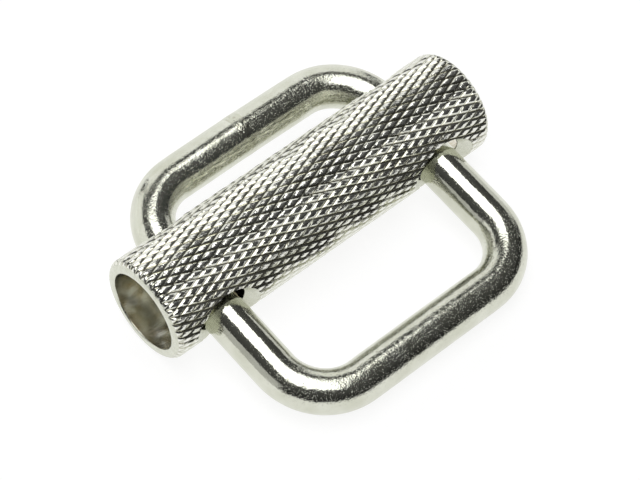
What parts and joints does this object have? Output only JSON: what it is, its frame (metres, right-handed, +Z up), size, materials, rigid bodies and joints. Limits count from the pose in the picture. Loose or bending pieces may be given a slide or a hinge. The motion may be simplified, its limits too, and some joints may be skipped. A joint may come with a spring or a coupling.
{
  "type": "sliding bar webbing adjuster",
  "caption": "Rounded rectangular rod link with a knurled tube that slides on its legs and pinches flat webbing against the rear bar.",
  "frame": {"origin": "on the surface the part lies on, under the centre of its box", "axes": "+X along the tube and both bars, +Y from the front bar to the rear bar, +Z up from the surface the part lies on"},
  "size_m": [0.045, 0.0357, 0.0122],
  "materials": {
    "link_plate": "bright warm nickel plate over bent steel rod, faint orange peel",
    "weld_plate": "nickel plate over a lightly dressed butt weld, rougher than the rod",
    "tube_plate": "nickel plate over a diamond knurled tube, bright crests and dull grooves"
  },
  "bodies": {
    "link": {"link_rod": "link_plate", "butt_weld": "weld_plate"},
    "tube": {"knurled_tube": "tube_plate"}
  },
  "joints": [
    {"name": "tube_slide", "type": "slide", "parent": "tube", "child": "link", "axis": [0, 0.9884, 0.1521], "range_m": [-0.0011, 0.0103]}
  ]
}
